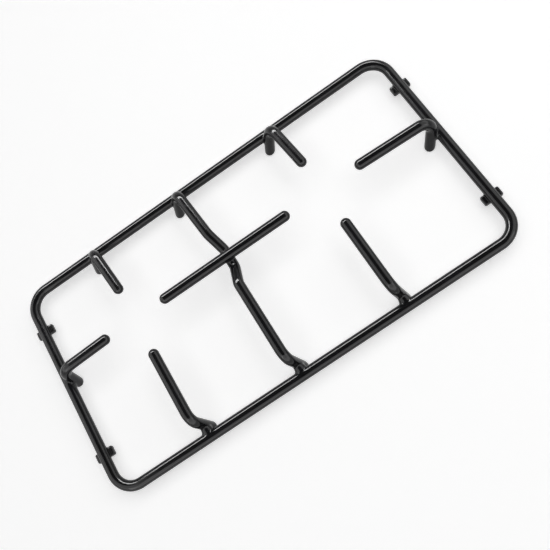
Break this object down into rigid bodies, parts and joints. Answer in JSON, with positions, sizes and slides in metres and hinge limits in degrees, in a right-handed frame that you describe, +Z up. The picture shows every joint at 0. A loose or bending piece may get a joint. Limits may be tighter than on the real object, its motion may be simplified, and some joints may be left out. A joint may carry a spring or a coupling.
{
  "type": "hob pan support",
  "caption": "Welded round-bar pan support for a gas hob: a rounded rectangular loop with raised fingers round each burner opening, standing on bent-down feet.",
  "frame": {"origin": "middle of the frame loop, on the surface that the feet stand on", "axes": "+X along the long side, +Y to the back, +Z up"},
  "size_m": [0.47, 0.245, 0.0415],
  "materials": {
    "enamel": "gloss black vitreous enamel on steel bar"
  },
  "bodies": {
    "root": {"pan_support": "enamel"}
  },
  "joints": []
}
